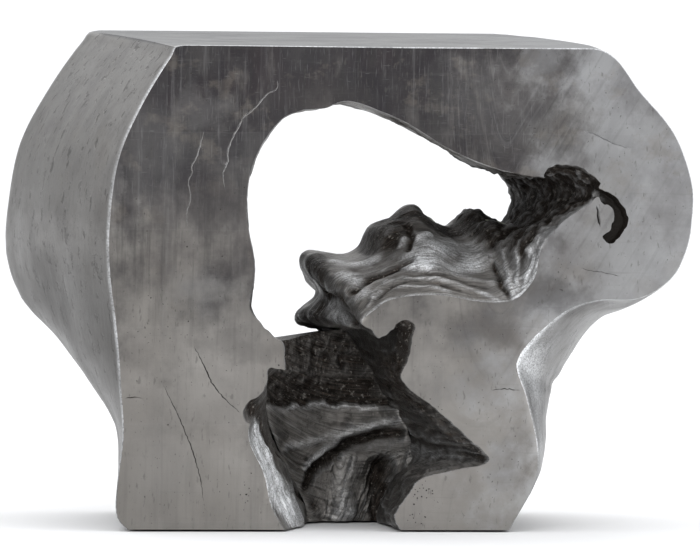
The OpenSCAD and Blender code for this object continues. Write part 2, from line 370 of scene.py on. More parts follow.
def row_samples(step, lines):
    """Row numbers spaced so that none of the lines moves more than step between two."""
    u = np.linspace(0.0, LAST, 12001)
    reach = np.max([np.linalg.norm(np.diff(line(u, t + 0 * u), axis=0), axis=-1)
                    for line, t in lines], axis=0)
    along = np.concatenate([[0], np.cumsum(reach)])
    return np.interp(np.linspace(0, along[-1], int(along[-1] / step) + 2), along, u)


def blur_rows(h, size):
    """Box blur along the first axis only, run twice."""
    for _ in range(2):
        total = np.cumsum(np.pad(h, [(size + 1, size), (0, 0)], mode="edge"), axis=0)
        h = (total[2 * size + 1:] - total[:-2 * size - 1]) / (2 * size + 1)
    return h


def blur(h, size):
    """Box blur of a grid along both axes, run twice."""
    return blur_rows(blur_rows(h, size).T, size).T


def grid_normals(p, toward):
    """Unit normals of a grid of points, on the side that toward points to."""
    n = unit(np.cross(np.gradient(p, axis=0), np.gradient(p, axis=1)))
    n = unit(np.stack([blur(n[..., k], 2) for k in range(3)], -1))
    return n * np.sign(np.sum(n * toward))


def inside(p, low, high, soft):
    """1 inside a box of datum millimetres, fading to 0 over soft outside it."""
    outside = np.maximum(np.maximum(low - p, p - high), 0)
    return 1 - smooth(np.linalg.norm(outside, axis=-1), 0, soft)


def furrows(s, y, along, across, seed, bend=6.0):
    """Sharp-crested ridges running along s; along and across are their sizes."""
    q = np.stack([s, y, 0 * s], -1)
    wander = bend * noise(q, 55, seed) + 0.4 * bend * noise(q, 21, seed + 1)
    q = np.stack([s / along, (y + wander) / across, 0 * s], -1)
    return 1 - 2 * np.abs(noise(q, 1.0, seed + 2))


# Creases (height below 0) and crests of the eroded surfaces: height, width, darkness (below 0
# for lighter; partly glaze, partly painted shade), brightness (partly rubbed leaf, partly painted
# highlights and reflections), and the points x, y, z of the line that they follow, all in datum
# millimetres.
MARKS = (
    # fuller left shoulder of the first peak, slimmer lower lobe
    (9, 26, 0.3, 0, [(42, -34, 266), (44, 20, 268)]),
    (-6, 26, 0, 0, [(-30, -36, 194), (-30, 14, 194)]),
    # the lump: valley behind the tongue, gap between the lobes, both painted dark as shade
    (-4.5, 10, 0.8, 0, [(43, -101, 248), (25, -103, 239), (9, -98, 234), (-14, -113, 223)]),
    (-4.0, 9, 0.8, 0, [(-17, -42, 214), (-24, -107, 213), (-17, -119, 202), (-7, -104, 187)]),
    # dark lobe tips and peaks
    (1, 27, 1.8, 0, [(-30, -14, 243), (-31, -44, 232), (-24, -38, 216)]),
    (1, 18, 1.6, 0, [(-28, -19, 191), (-20, -11, 203)]),
    (1, 38, 1.8, 0, [(46, -22, 272), (65, 7, 286), (80, -8, 287)]),
    (0, 24, 0.7, 0, [(24, -55, 253), (42, -58, 264)]),
    (1, 38, 1.6, 0, [(96, -22, 274), (119, -6, 277), (136, -16, 284), (142, -50, 280)]),
    # bright patches: partly rubbed leaf, partly painted highlights
    (1.5, 17, -0.8, 1.1, [(-6, -41, 244), (5, -53, 243), (18, -66, 246)]),
    (1.0, 14, -0.5, 0.9, [(-12, -82, 234), (-5, -110, 227), (-4, -123, 221)]),
    (1.0, 13, -0.6, 1.0, [(-16, -45, 204), (-17, -76, 197), (-13, -92, 193)]),
    (2.0, 8, -0.8, 1.0, [(44, -70, 260), (50, -62, 266)]),
    (2.5, 9, -0.9, 1.3, [(59, -74, 267), (71, -64, 270)]),
    (-3.5, 6, 0.7, 0, [(60, -42, 278), (55, -69, 267), (47, -86, 256)]),
    (0, 15, -0.5, 0.3, [(101, -60, 258), (110, -58, 256)]),
    (0, 13, 0.4, -0.6, [(60, -72, 256), (67, -70, 252)]),
    (0, 13, 0.3, -0.4, [(-4, -118, 226), (8, -122, 221)]),
    # shoulder and the long crests and furrows along the tongue: crests painted bright as highlights,
    # furrows painted dark as shade
    (0, 18, -0.8, 1.0, [(58, -112, 245), (80, -108, 243), (104, -100, 245)]),
    (2.5, 24, -0.9, 1.0, [(51, -106, 248), (69, -90, 258), (94, -65, 261), (111, -72, 256),
                          (114, -91, 248)]),
    (1.4, 6, -0.3, 0.2, [(35, -103, 243), (59, -120, 241), (89, -118, 237), (116, -123, 231)]),
    (1.8, 5, -0.3, 0.3, [(-1, -135, 217), (16, -120, 229), (30, -120, 235), (52, -129, 235),
                         (75, -132, 230), (98, -138, 223), (119, -149, 215)]),
    (1.6, 4, -0.3, 0.3, [(-6, -142, 210), (10, -131, 222), (25, -132, 228), (49, -139, 228),
                         (72, -143, 223)]),
    (-2.2, 4, 0.5, 0, [(1, -140, 215), (20, -128, 226), (38, -126, 232), (59, -134, 230),
                       (82, -139, 224)]),
    (-1.8, 4, 0.3, 0, [(37, -111, 240), (59, -125, 239), (82, -126, 234), (108, -131, 226)]),
    # sharp crease painted dark as shade, and the fan of fibres beside it painted bright as a highlight
    (-4.0, 4, 0.65, 0, [(124, -100, 248), (123, -118, 236), (125, -137, 223), (129, -150, 214)]),
    (0, 18, -0.5, 0.5, [(135, -99, 259), (134, -137, 229), (139, -147, 225), (148, -141, 243),
                        (153, -143, 257)]),
    (1.4, 4, -0.2, 0.6, [(130, -150, 216), (132, -119, 242), (135, -99, 259)]),
    (1.4, 4, -0.2, 0.6, [(132, -150, 217), (140, -128, 242), (147, -115, 265)]),
    (1.4, 4, -0.2, 0.6, [(134, -150, 217), (146, -142, 238), (153, -143, 257)]),
    # underside of the arch, painted dark as shade
    (0, 30, 0.9, 0, [(20, -125, 384), (70, -125, 364), (116, -125, 341), (150, -125, 331)]),
    # pocket: painted dark inside, partly glaze and partly painted shade, with a lighter slope below it
    # painted with a highlight, a rim inside its brow and a painted glint
    (0, 17, -0.9, 0.2, [(153, -140, 262), (165, -140, 278), (180, -145, 290), (194, -148, 299)]),
    (-2, 42, 0.95, 0, [(171, -27, 288), (178, -36, 303), (186, -77, 314), (194, -115, 321)]),
    (2.5, 6, 0, 0.2, [(165, -146, 333), (179, -148, 334), (198, -136, 329), (207, -138, 321)]),
    (0, 7, -0.8, 1.0, [(209, -143, 314), (208, -150, 304)]),
    # recess: ledge of crumbs, its shadow, the ear
    (3, 7, 0.3, 0.35, [(-52, -10, 111), (-33, -10, 110), (-14, -10, 110), (6, -10, 110),
                       (34, -10, 111), (51, -38, 112)]),
    (-3, 12, 0.55, 0, [(-97, -140, 140), (-60, -30, 128), (-34, -10, 122), (-5, -10, 122),
                       (24, -10, 123), (35, -60, 130)]),
    (0, 26, 0.35, 0, [(30, -150, 189), (28, -134, 172), (24, -131, 149), (41, -82, 127)]),
    (0, 22, 0.95, 0, [(17, -140, 184), (32, -140, 190)]),
    # ridge, arc crease painted dark as its shadow, its lip painted bright as a highlight, and what runs
    # on from it into the spike
    (3, 8, 0, 0.35, [(-50, -10, 71), (-23, -10, 75), (-4, -10, 79), (16, -10, 89), (54, -10, 96)]),
    (-11, 8, 0.95, 0, [(-27, -10, 33), (-21, -10, 45), (-5, -10, 61), (16, -10, 74), (40, -10, 82),
                       (56, -10, 84), (66, -32, 85)]),
    (6, 8, 0, 0.5, [(-24, -10, 52), (-11, -10, 66), (11, -10, 81), (37, -10, 91), (61, -19, 93)]),
    (-2, 6, 0.2, 0, [(68, -30, 78), (77, -67, 76), (87, -101, 75), (99, -126, 67), (105, -142, 66)]),
    (3, 9, 0.6, 0.1, [(51, -95, 117), (62, -117, 107), (76, -122, 94), (92, -134, 81),
                      (102, -144, 73)]),
    (0, 24, -0.4, 0.15, [(64, -10, 68), (74, -46, 66), (86, -100, 69), (98, -124, 66)]),
    # pit painted dark as shade, fibrous column and the floor of the recess
    (-18, 15, 0.95, 0, [(45, -10, 52), (42, -10, 40), (43, -10, 21), (42, -10, 4)]),
    (7, 18, -0.1, 0.35, [(16, -10, 53), (9, -10, 35), (7, -10, 16), (3, -10, 4)]),
    (5, 12, -0.1, 0.35, [(9, -10, 10), (15, -10, 10)]),
    # left wall: dark streak above, fibres below painted bright as a highlight
    (-2, 14, 0.6, 0, [(-116, -145, 118), (-96, -103, 95), (-86, -98, 80)]),
    (0, 42, -1.0, 2.0, [(-104, -126, 76), (-95, -124, 58), (-89, -127, 42), (-75, -115, 24),
                        (-51, -80, 9)]),
    # outside of the right leg under the overhang, painted bright as a reflection of the floor
    (0, 60, 0, 0.8, [(140, -135, 168), (146, -110, 140), (150, -120, 100)]),
    (-3, 8, 0.7, 0, [(-72, -70, 72), (-56, -55, 42), (-41, -37, 25), (-20, -10, 16)]),
)


def near_line(p, line, width):
    """1 on a line of 3-D points falling to 0 at width from it."""
    line = np.asarray(line, float)
    result = np.zeros(p.shape[:-1])
    box_low, box_high = line.min(0) - width, line.max(0) + width
    close = np.all((p > box_low) & (p < box_high), axis=-1)
    q = p[close]
    best = np.full(len(q), 1e9)
    for a, b in zip(line[:-1], line[1:]):
        ab = b - a
        s = np.clip(((q - a) @ ab) / (ab @ ab), 0, 1)
        best = np.minimum(best, np.linalg.norm(q - a - s[:, None] * ab, axis=-1))
    result[close] = 1 - smooth(best, 0, width)
    return result


def marked(p):
    """Height, darkness and brightness that the marks add at points p."""
    warp = np.stack([fractal(p, 14, 2, seed) for seed in (301, 302, 303)], -1) * 1.6
    height, dark, shine = (np.zeros(p.shape[:-1]) for _ in range(3))
    for up, width, darker, brighter, line in MARKS:
        k = near_line(p + warp, line, width)
        height += up * k
        dark += darker * k
        shine += brighter * k
    return height, dark, shine


DEEPEST, HIGHEST = -8.0, 12.0       # limits of the relief, so that it stays out of the hollow
POCKET = np.array([[135, -200, 262], [400, 60, 345]])      # corners of boxes, datum mm
SLOT = np.array([[208, -200, 262], [250, -138, 325]])


def eroded(p, s, y):
    """Relief of the opening's wall at p in datum millimetres, where s is the run along the
    outline and y the depth: height, darkness, brightness and grain."""
    x, z = p[..., 0], p[..., 2]
    pocket = inside(p, *POCKET, 22)
    recess = (1 - smooth(z, 160, 190)) * (1 - smooth(x, 130, 150))
    right_side = recess * smooth(x, -20, 10)
    slot = inside(p, *SLOT, 4)
    rough = np.clip(0.30 + pocket + 0.5 * recess, 0, 1.3)
    flow = furrows(s, y, 75, 17, 11, 14)
    fine = furrows(s, y, 36, 5.0, 21, 7)
    cross = furrows(y, s, 50, 7.0, 51, 6)
    lump = fractal(p, (34, 26, 24), 3, 31)
    crumb = fractal(p, 9.0, 3, 41)
    grain = (1 - right_side) * (1.1 * flow + rough * 0.7 * fine) * (1 - 0.6 * pocket)
    grain = grain + right_side * 1.3 * cross
    height = 1.8 * lump + grain + rough * 1.2 * crumb + 3.5 * pocket * fractal(p, 16, 3, 45)
    # Darker in the pocket, the recess, the slot and above the ledge: partly glaze, partly painted
    # shade.
    ledge = right_side * (0.30 * smooth(z + 3 * crumb, 108, 114) - 0.12)
    dark = 0.9 * pocket + 0.40 * recess + 0.05 + ledge
    more, darker, shine = marked(p)
    height = np.clip(height + more, DEEPEST, HIGHEST) * (1 - slot)
    q = np.stack([s, y, 0 * s], -1)
    sway = 9 * noise(q, 48, 61) + 3 * noise(q, 17, 62)
    grain = (s + right_side * (y - s), y + sway + right_side * (s - y),
             (1 - slot) * (1 - 0.5 * pocket))
    return height, np.clip(dark + darker, 0, 1) + 0.3 * slot, np.clip(shine - slot, 0, 2), grain


# Cracks in the front face: half width, depth and points (x, z) in datum millimetres.
CRACKS = (
    (0.80, 0.8, [(-100, 418), (-100, 410), (-109, 405), (-117, 396), (-124, 389), (-131, 384),
                 (-135, 377), (-141, 365), (-146, 353), (-146, 342), (-150, 331), (-148, 317)]),
    (0.70, 0.7, [(-169, 370), (-172, 360), (-175, 348), (-180, 338), (-180, 331), (-183, 324),
                 (-181, 309), (-184, 295), (-183, 282)]),
    (0.55, 1.0, [(-175, 172), (-165, 154), (-155, 135), (-140, 119), (-129, 110)]),
    (0.45, 0.8, [(-203, 135), (-190, 110), (-178, 84), (-168, 56), (-163, 28)]),
    (0.50, 0.9, [(190, 374), (202, 371), (212, 367), (228, 360), (243, 356)]),
    (0.50, 0.9, [(111, 132), (124, 133), (140, 132)]),
    (0.50, 0.9, [(-240, 123), (-231, 124), (-222, 123)]),
    (0.40, 0.7, [(195, 246), (205, 243), (215, 242), (234, 238)]),
    (1.40, 3.0, [(209.5, 304), (211.5, 298), (211.5, 291), (213.5, 283)]),
)
# Groups of pores in the front face: middle x, z, spread x, z and how many.
PORES = ((52, 112, 15, 12, 34), (44, 40, 12, 16, 30), (-121, 32, 5, 14, 12), (40, 12, 10, 5, 8),
         (12, 180, 6, 4, 10), (118, 336, 24, 5, 10), (-60, 240, 170, 180, 60))


def crack(build, half, deep, path, seed):
    """A V groove in the front face; returns the loop that the face leaves out."""
    path = np.asarray(path, float)
    dense = curve(path, np.linspace(0, len(path) - 1, 400))
    run = run_along(dense)
    even = np.linspace(0, run[-1], max(5, int(run[-1] / 2.4)))
    line = np.stack([np.interp(even, run, dense[:, k]) for k in (0, 1)], -1)
    rng = np.random.default_rng(seed)
    line[1:-1] += np.clip(rng.normal(0, 0.28, line[1:-1].shape), -0.5, 0.5)
    side = unit(np.gradient(line, axis=0)) @ np.array([[0, 1], [-1, 0]])
    taper = np.sin(np.linspace(0, np.pi, len(line))) ** 0.4
    width = half * taper[:, None] * rng.uniform(0.6, 1.4, (len(line), 1))
    n = len(line)

    def behind_face(q, y):
        return at_y(q, Y_FRONT + y)

    in_patina = path[:, 1].min() > 250 and path[0, 0] < 200
    pale = 0.28 if in_patina else 0.0
    one = build.grid(behind_face((line + side * width)[1:-1], 0), 0.1, pale)
    two = build.grid(behind_face((line - side * width)[1:-1], 0), 0.1, pale)
    ends = build.grid(behind_face(line[[0, -1]], 0), 0.1, pale)
    low = build.grid(behind_face(line[1:-1], deep * taper[1:-1]), 1 - 2 * pale, 0.5 * pale)
    for edge in (one, two):
        rim = np.concatenate([ends[:1], edge, ends[1:]])
        for k in range(n - 1):
            bottom = [int(low[i]) for i in (k, k - 1) if 0 <= i < n - 2]
            build.add([[int(rim[k]), int(rim[k + 1]), *bottom]])
    return [*ends[:1], *one, *ends[1:], *two[::-1]]


def pores(build, outline, taken):
    """Small pits in the front face, clear of the outline and of each other."""
    rng = np.random.default_rng(5)
    loops = []
    used = [np.asarray(outline), *[curve(np.asarray(c, float), np.linspace(0, len(c) - 1, 60))
                                   for c in taken]]
    used = np.concatenate(used)
    polygon = Outline(outline)
    for x, z, wide, high, count in PORES:
        for _ in range(count):
            middle = np.array([x, z]) + rng.normal(0, 0.5, 2) * [wide, high]
            size = rng.uniform(0.35, 0.95)
            gap = np.min(np.linalg.norm(used - middle, axis=1))
            if gap < size + 1.6 or not polygon.holds(middle):
                continue
            used = np.concatenate([used, middle[None]])
            turn = np.arange(7) / 7 * math.tau
            reach = size * rng.uniform(0.7, 1.3, (7, 1))
            ring = middle + np.stack([np.cos(turn), np.sin(turn)], -1) * reach
            rim = build.grid(at_y(ring, Y_FRONT), 0.5)
            low = build.grid(at_y(middle[None], Y_FRONT + size), 1.0)
            for k in range(7):
                build.add([[int(rim[k]), int(rim[(k + 1) % 7]), int(low[0])]])
            loops.append(list(rim))
    return loops


def face_waves(outline, y, toward):
    """Points over a cut face with the slight unevenness of the leafed casting."""
    x, z = np.meshgrid(np.arange(-256, 304, 9.0), np.arange(8, 448, 9.0), indexing="ij")
    flat = np.stack([x.ravel(), z.ravel()], -1)
    flat += 2.0 * np.stack([noise(np.stack([x, z, 0 * x], -1), 7, k).ravel() for k in (7, 8)], -1)
    polygon = Outline(outline)
    away = np.array([np.min(np.sum((outline - q) ** 2, axis=1)) for q in flat]) ** 0.5
    keep = [a > 5 and polygon.holds(q) for a, q in zip(away, flat)]
    flat, away = flat[keep], away[keep]
    p = at_y(flat, y)
    sunk = 0.35 * (1 + fractal(p, (55, 40, 70), 2, 401)) * smooth(away, 4, 26)
    p[:, 1] += toward * np.clip(sunk, 0.0, 1.2)
    return p


def edge_fade(t, cut, depth_mm):
    """0 at the cut face rising to 1 at depth_mm behind it."""
    return smooth(np.abs(t - cut) * DEPTH, 0, depth_mm)


OUTER_STEP = 5.0                    # row spacing of the smooth outer walls, mm
EASING = 4.0                        # rounding of the drawn rows behind the front edge, mm
CHAMFER = 0.8                       # broken edge round the cut faces, mm


def shell(name, cut, step):
    """One cast half: cut face, outer wall, eroded inner wall, and the hollow behind them.
    cut is the cut face's depth fraction: 0 at the front and 1 at the back."""
    build = Builder()
    toward = 1 if cut == 0 else -1
    w = np.concatenate([[0, 0.9], np.linspace(2.2, DEPTH / 2, int(DEPTH / 2 / step) + 1)])
    t_in = cut + toward * w / DEPTH
    w_out = np.concatenate([[0, 0.9, 3, 6], np.linspace(10, DEPTH / 2, 15)])
    t_out = cut + toward * w_out / DEPTH
    w_back = np.linspace(PLATE, DEPTH / 2, 7)
    t_back = cut + toward * w_back / DEPTH

    # eroded inner wall
    line = detailed_inner if cut == 0 else inner_at
    u_in = row_samples(step, [(line, 0), (line, 0.25), (line, 0.5), (line, 1)])
    U, T = np.meshgrid(u_in, t_in, indexing="ij")
    flat = line(U, T)
    reach = max(1, round(EASING / step))
    eased = np.stack([blur_rows(flat[..., k], reach) for k in (0, 1)], -1)
    ease = (edge_fade(T, cut, 16) * smooth(flat[..., 1], BASE_Z, 30))[..., None]
    flat = flat * (1 - ease) + eased * ease
    into = unit(outer_at(U, T) - flat)
    s = run_along(inner_at(u_in, 0.5 + 0 * u_in))
    S = np.broadcast_to(s[:, None], U.shape)
    p = at_depth(flat, T)
    datum = p + [DATUM_X, 0, 0]
    normal = grid_normals(p, -with_depth(into))
    height, dark, bright, grain = eroded(datum, S, datum[..., 1])
    height = height * (0.3 + 0.7 * edge_fade(T, cut, 14)) - 0.6
    cavity = blur(height, 4) - height
    p = p + normal * height[..., None]
    p[:, 0] += CHAMFER * with_depth(into[:, 0])
    p[:, 0, 1] = Y_FRONT + DEPTH * cut
    p[:, -1, 1] = 0
    p[..., 2] = np.clip(p[..., 2], BASE_Z, TABLE_H - 12)
    p[[0, -1], :, 2] = BASE_Z
    # Painted shade in the relief's hollows and painted highlights on its crests, and a painted
    # highlight along the cut edge.
    dark = np.clip(dark + 0.20 * cavity, 0, 1.3)
    rim = (1 - smooth(np.abs(T - cut) * DEPTH, 0.5, 4)) * (1 - 0.75 * dark)
    dark = dark * (1 - 0.8 * rim)
    shine = np.clip(bright - 0.20 * cavity, 0, 2) * (1 - 0.5 * dark) + 0.5 * rim
    inner = build.grid(p, dark, shine, grain)
    build.skin(inner)

    # smooth outer wall
    u_out = row_samples(OUTER_STEP, [(outer_at, 0), (outer_at, 0.5), (outer_at, 1)])
    V, R = np.meshgrid(u_out, t_out, indexing="ij")
    flat = outer_at(V, R)
    across = unit(inner_at(V, R) - flat)
    q = at_depth(flat, R)
    wave = fractal(q + [DATUM_X, 0, 0], (95, 80, 70), 2, 61)
    lift = wave * (1 - smooth(q[..., 2], TABLE_H - 30, TABLE_H - 8)) * edge_fade(R, cut, 30)
    q = q - with_depth(across) * (0.9 * lift - 0.9)[..., None]
    q[:, 0] += CHAMFER * with_depth(across[:, 0])
    q[..., 0] = np.clip(q[..., 0], shell_low.x / MM - 2, shell_high.x / MM + 2)
    q[..., 2] = np.clip(q[..., 2], BASE_Z, TABLE_H)
    q[[0, -1], :, 2] = BASE_Z
    # A painted highlight along the cut edge; the marks add painted shade and highlights here too.
    rim = 1 - smooth(np.abs(R - cut) * DEPTH, 0.5, 7)
    _, dark, bright = marked(q + [DATUM_X, 0, 0])
    outer = build.grid(q, 0.3 * dark, np.clip(bright, 0, 1) + 0.7 * rim)
    build.skin(outer)

    # inside of the hollow
    hollow = []
    for us, line, other, inset in ((u_out, outer_at, inner_at, WALL),
                                   (u_in, hollow_inner, outer_at, INNER_WALL)):
        B, D = np.meshgrid(us, t_back, indexing="ij")
        a, b = line(B, D), other(B, D)
        hollow.append(build.grid(at_depth(level(a + unit(b - a) * inset), D), 0.5, 0.0))
        build.skin(hollow[-1])
    outer_hollow, inner_hollow = hollow
    for wall, back in ((outer, outer_hollow), (inner, inner_hollow)):
        build.skin(np.stack([wall[:, -1], back[:, -1]], 1))
    face = [*outer[:, 0], *inner[::-1, 0]]
    rim = np.concatenate(build.points)[face][:, [0, 2]] + [DATUM_X, 0]
    loose = build.grid(face_waves(rim, Y_FRONT + DEPTH * cut, toward))
    holes = []
    if cut == 0:
        holes = [crack(build, *c, seed) for seed, c in enumerate(CRACKS)]
        holes += pores(build, rim, [c[2] for c in CRACKS])
    build.fill([face, *holes], (0, 2), loose)
    build.fill([[*outer_hollow[:, 0], *inner_hollow[::-1, 0]]], (0, 2))
    for end in (0, -1):
        build.fill([[*outer[end], *outer_hollow[end, ::-1], *inner_hollow[end],
                     *inner[end, ::-1]]], (0, 1))
    return build.finish(name, leaf)


RECESS_FORWARD = 12.0               # recess wall's face in front of mid depth, mm


def recess_wall():
    """Eroded wall that closes the gap between the feet behind the recess."""
    _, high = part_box("recess_wall")
    build = Builder()
    rows, columns = 190, 190
    t_wall = 0.5 - RECESS_FORWARD / DEPTH
    f = np.linspace(0, 1, rows)
    left = inner_at(LEFT_FOOT_ROW * f, t_wall + 0 * f)
    right = inner_at(LAST + (RIGHT_FOOT_ROW - LAST) * f, t_wall + 0 * f)
    s = np.linspace(0, 1, columns)
    reach = unit(right - left) * 4
    a, b = (left - reach)[:, None], (right + reach)[:, None]
    xz = level(a + (b - a) * s[None, :, None])
    width = np.linalg.norm(b - a, axis=-1)
    edge = np.minimum(s, 1 - s)[None, :] * width
    y, dark, shine, grain = recess_relief(xz[..., 0], xz[..., 1], edge)
    face = build.grid(at_y(xz, y), dark, shine, grain)
    left = inner_at(LEFT_FOOT_ROW * f, 1 + 0 * f)
    right = inner_at(LAST + (RIGHT_FOOT_ROW - LAST) * f, 1 + 0 * f)
    xz = level(left[:, None] + (right - left)[:, None] * s[None, :, None])
    rear = build.grid(at_y(xz, high.y / MM - 0.5), 0.80, 0.0)
    build.skin(face)
    build.skin(rear)
    for side in (np.s_[0, :], np.s_[-1, :], np.s_[:, 0], np.s_[:, -1]):
        build.skin(np.stack([face[side], rear[side]], 1))
    return build.finish("recess_wall_carved", leaf)


def recess_relief(x, z, edge):
    """Depth of the recess wall over x and z (datum), with its dark and bright marks.
    edge is the distance from the side walls."""
    p = np.stack([x, 0 * x - 10, z], -1)
    crumb = fractal(p, 10, 4, 71)
    band = smooth(z + 3 * crumb, 108, 113)
    chunk = smooth(z + 4 * crumb, 132, 140)
    bend = 0.35 * (x + 20) - 0.004 * (x + 20) ** 2
    fan = smooth(z, 80, 60) * smooth(x, -30, 10)
    fibre = furrows(x * 0.9 + z * 0.3, z + bend, 60, 6.0, 81, 6) * (1 - fan)
    fibre = fibre + fan * furrows(z, x - 0.4 * z, 50, 5.0, 83, 5)
    fine = furrows(x, z + bend, 30, 2.8, 91, 3)
    broad = fractal(p, 48, 2, 101)
    more, darker, shine = marked(p)
    y = -RECESS_FORWARD + 6 * broad - 16 * (1 - smooth(edge, 0, 30)) ** 2
    y = y + band * (9 - 6 * chunk + 4.0 * crumb) - (1 - band) * (1.8 * fibre + 0.8 * fine + 0.8 * crumb)
    y = y - chunk * 3.4 * fractal(p, (8, 8, 22), 3, 95) - more
    height = -y
    cavity = blur(height, 4) - height
    # Darker above the ledge, where the wall lies in shade under the arch, and in the relief's hollows:
    # painted shade; brighter on its crests: painted highlight.
    dark = np.clip(0.23 + 0.49 * band + 0.03 * chunk + 0.12 * cavity + darker, 0, 1)
    shine = np.clip(-0.10 * cavity + shine, 0, 1) * (1 - 0.8 * band)
    grain = (x * 0.9 + z * 0.3 + fan * (z - x), z + bend + fan * (x - 0.4 * z - z - bend), 1.0)
    return y, dark, shine, grain


# ---------------------------------------------------------------- materials
class Shader:
    """Short forms for building a node material. tone is the colour built up so far."""

    def __init__(self, name):
        self.material = bpy.data.materials.new(name)
        self.material.use_nodes = True
        self.tree = self.material.node_tree
        self.tree.nodes.clear()
        surface = self.add("ShaderNodeOutputMaterial").inputs["Surface"]
        self.bsdf = self.add("ShaderNodeBsdfPrincipled")
        self.tree.links.new(self.bsdf.outputs[0], surface)
        self.object = self.add("ShaderNodeTexCoord").outputs["Object"]
        self.normal = self.add("ShaderNodeNewGeometry").outputs["True Normal"]
        self.tone = None

    def add(self, kind, **settings):
        node = self.tree.nodes.new(kind)
        for key, value in settings.items():
            setattr(node, key, value)
        return node

    def give(self, socket, value):
        if isinstance(value, bpy.types.NodeSocket):
            self.tree.links.new(value, socket)
        else:
            socket.default_value = value

    def math(self, operation, a, b=0.0, clamp=False):
        node = self.add("ShaderNodeMath", operation=operation, use_clamp=clamp)
        self.give(node.inputs[0], a)
        self.give(node.inputs[1], b)
        return node.outputs[0]

    def times(self, *values):
        result = values[0]
        for value in values[1:]:
            result = self.math("MULTIPLY", result, value)
        return result

    def plus(self, a, b):
        return self.math("ADD", a, b)

    def minus(self, a, b):
        return self.math("SUBTRACT", a, b)

    def most(self, a, b):
        return self.math("MAXIMUM", a, b)

    def rest(self, a):
        """What a leaves of one."""
        return self.minus(1.0, a)

    def vector(self, operation, a, b=(0, 0, 0)):
        node = self.add("ShaderNodeVectorMath", operation=operation)
        self.give(node.inputs[0], a)
        self.give(node.inputs[1], b)
        return node.outputs["Value" if operation in ("DOT_PRODUCT", "LENGTH") else "Vector"]

    def split(self, vector):
        node = self.add("ShaderNodeSeparateXYZ")
        self.give(node.inputs[0], vector)
        return tuple(node.outputs)

    def join(self, *parts):
        node = self.add("ShaderNodeCombineXYZ")
        for socket, part in zip(node.inputs, parts):
            self.give(socket, part)
        return node.outputs[0]

    def noise(self, scale, detail=3.0, rough=0.5, at=None, stretch=(1, 1, 1), output="Fac"):
        where = self.vector("MULTIPLY", self.object if at is None else at, stretch)
        node = self.add("ShaderNodeTexNoise")
        self.give(node.inputs["Vector"], where)
        self.give(node.inputs["Scale"], scale)
        self.give(node.inputs["Detail"], detail)
        self.give(node.inputs["Roughness"], rough)
        return node.outputs[output]

    def stirred(self, scale, detail, rough, reach):
        """The object position moved about by noise, up to half of reach each way."""
        off = self.vector("SUBTRACT", self.noise(scale, detail, rough, output="Color"), (0.5,) * 3)
        return self.vector("ADD", self.object, self.vector("MULTIPLY", off, (reach,) * 3))

    def span(self, value, low, high, to_low=0.0, to_high=1.0):
        """Smooth step of value from low to high, given out as to_low to to_high."""
        node = self.add("ShaderNodeMapRange", interpolation_type="SMOOTHSTEP")
        for socket, given in zip(node.inputs, (value, low, high, to_low, to_high)):
            self.give(socket, given)
        return node.outputs[0]

    def mix(self, factor, a, b):
        node = self.add("ShaderNodeMix", data_type="RGBA", blend_type="MIX")
        self.give(node.inputs[0], factor)
        self.give(node.inputs[6], a)
        self.give(node.inputs[7], b)
        return node.outputs[2]

    def coat(self, factor, colour):
        """Blends a colour over the tone so far."""
        self.tone = self.mix(factor, self.tone, colour)

    def attribute(self, name):
        return self.add("ShaderNodeAttribute", attribute_name=name).outputs["Fac"]

    def bump(self, height, distance):
        node = self.add("ShaderNodeBump")
        self.give(node.inputs["Strength"], 1.0)
        self.give(node.inputs["Distance"], distance)
        self.give(node.inputs["Height"], height)
        self.give(self.bsdf.inputs["Normal"], node.outputs[0])

    def set(self, **values):
        for key, value in values.items():
            self.give(self.bsdf.inputs[key.replace("_", " ")], value)


def grey(value, warm=0.0):
    """A linear grey, warmer for a positive second number."""
    return (value * (1 + warm), value, value * (1 - 1.3 * warm), 1)


# Where the patina gathers or is rubbed away on the cut faces: middle x, z and reach x, z in
# datum millimetres, and how much (negative for darker).
PATCHES = (
    (162, 218, 50, 24, -0.62), (110, 190, 42, 18, -0.40), (-158, 306, 42, 34, -0.58),
    (-132, 172, 50, 18, -0.35), (158, 437, 34, 18, -0.60), (130, 62, 22, 32, -0.28),
    (-57, 400, 60, 16, -0.50), (161, 275, 20, 18, -0.45), (-109, 93, 18, 46, -0.22),
    (-220, 350, 34, 60, 0.12), (-175, 391, 32, 18, 0.16), (-166, 225, 36, 22, 0.26),
    (101, 402, 62, 45, 0.12), (206, 322, 16, 20, 0.30), (-202, 65, 42, 56, 0.14),
    (193, 384, 22, 28, 0.30), (-254, 318, 12, 42, 0.16),
)
LEAF_PITCH = 0.090                  # metres from one leaf joint to the next
LEAF_START = (-0.133, -0.105, 0.0093)
PATINA_AND_DARK_REFLECTION = (0.026, 0.024, 0.028, 1)
DARK_BRUSHING = (0.032, 0.030, 0.034, 1)
WORN = (0.056, 0.046, 0.047, 1)
GATHERED = (0.060, 0.055, 0.055, 1)
RUBBED = (0.22, 0.195, 0.165, 1)
PALE_BRUSHING = (0.25, 0.235, 0.215, 1)
GLAZE_AND_SHADE = (0.0085, 0.0062, 0.0046, 1)
PALE_GLAZE_AND_SHADE = (0.066, 0.051, 0.041, 1)
GLINT = (0.22, 0.205, 0.185, 1)


def bare_leaf(m):
    """Warm grey on the left, lighter and cooler on the right."""
    cloud = m.span(m.noise(5.5, 3, 0.55), 0.35, 0.65)
    warm = m.mix(cloud, grey(0.212, 0.060), grey(0.285, 0.050))
    cool = m.mix(cloud, grey(0.365, 0.0), grey(0.470, -0.010))
    m.tone = m.mix(m.lighter, warm, cool)


